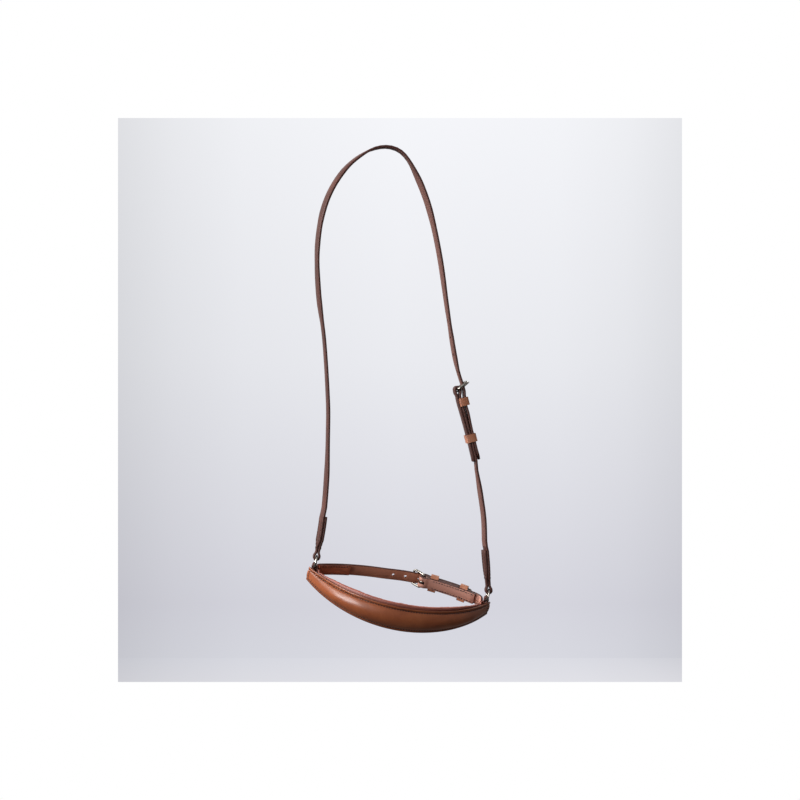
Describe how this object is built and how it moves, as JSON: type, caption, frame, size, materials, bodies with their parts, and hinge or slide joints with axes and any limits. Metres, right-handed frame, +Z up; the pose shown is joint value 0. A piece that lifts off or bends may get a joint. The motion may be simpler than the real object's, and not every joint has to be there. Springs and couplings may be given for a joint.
{
  "type": "bridle noseband",
  "caption": "Padded cavesson noseband: a raised nosepiece hung on rings from a narrow adjustable head strap, closed under the jaw by a buckled chin strap.",
  "frame": {"origin": "where the horse's poll carries the head strap: the underside of the strap at the top of its arch", "axes": "+Z up; +X to the horse's near side, where the head buckle is; the nosepiece's front faces -Y; the head strap lies in the XZ plane"},
  "size_m": [0.2057, 0.0871, 0.5332],
  "materials": {
    "strap_leather": "cognac bridle leather with dark edges",
    "keeper_leather": "lighter tan bridle leather",
    "raised_leather": "smooth cognac leather, semi-gloss",
    "lining_leather": "soft reddish brown leather, matt",
    "padding": "felt padding, out of sight",
    "steel": "polished"
  },
  "bodies": {
    "straps": {"head_strap": "strap_leather", "cheek_strap": "strap_leather", "head_fixed_keeper": "keeper_leather"},
    "sliding_keeper": {"head_sliding_keeper": "keeper_leather"},
    "head_buckle": {"head_buckle_frame": "steel"},
    "head_tongue": {"head_buckle_tongue": "steel"},
    "left_ring_body": {"left_ring": "steel"},
    "right_ring_body": {"right_ring": "steel"},
    "nose_loop": {"nosepiece_outer": "raised_leather", "nosepiece_filler": "padding", "nosepiece_lining": "lining_leather", "left_hanger_tab": "strap_leather", "right_hanger_tab": "strap_leather", "chin_billet": "strap_leather", "chin_billet_lining": "lining_leather", "chin_buckle_strap": "strap_leather", "chin_keeper_1": "keeper_leather", "chin_keeper_2": "keeper_leather"},
    "chin_buckle": {"chin_buckle_frame": "steel"},
    "chin_tongue": {"chin_buckle_tongue": "steel"}
  },
  "joints": [
    {"name": "nose_loop_swing", "type": "hinge", "parent": "straps", "child": "nose_loop", "pos_m": [0.0178, 0, -0.4734], "axis": [0.9796, 0, -0.2011], "range_deg": [-85, 35]},
    {"name": "left_ring_turn", "type": "hinge", "parent": "straps", "child": "left_ring_body", "pos_m": [-0.07742, 0, -0.45385], "axis": [0.9796, 0, -0.2011], "continuous": true},
    {"name": "right_ring_turn", "type": "hinge", "parent": "straps", "child": "right_ring_body", "pos_m": [0.11302, 0, -0.49295], "axis": [0.9796, 0, -0.2011], "continuous": true},
    {"name": "head_buckle_swing", "type": "hinge", "parent": "straps", "child": "head_buckle", "pos_m": [0.0788, 0, -0.2655], "axis": [0, -1, 0], "range_deg": [-5, 8]},
    {"name": "head_tongue_lift", "type": "hinge", "parent": "head_buckle", "child": "head_tongue", "pos_m": [0.0788, 0, -0.2655], "axis": [0, -1, 0], "range_deg": [-5, 0]},
    {"name": "head_keeper_slide", "type": "slide", "parent": "straps", "child": "sliding_keeper", "axis": [-0.2497, 0, 0.9683], "range_m": [-0.018, 0.01]},
    {"name": "chin_buckle_swing", "type": "hinge", "parent": "nose_loop", "child": "chin_buckle", "pos_m": [0.04387, 0.03334, -0.48068], "axis": [0.1822, -0.4226, 0.8878], "range_deg": [-5, 3]},
    {"name": "chin_tongue_lift", "type": "hinge", "parent": "chin_buckle", "child": "chin_tongue", "pos_m": [0.04387, 0.03334, -0.48068], "axis": [0.1822, -0.4226, 0.8878], "range_deg": [-5, 0]}
  ]
}
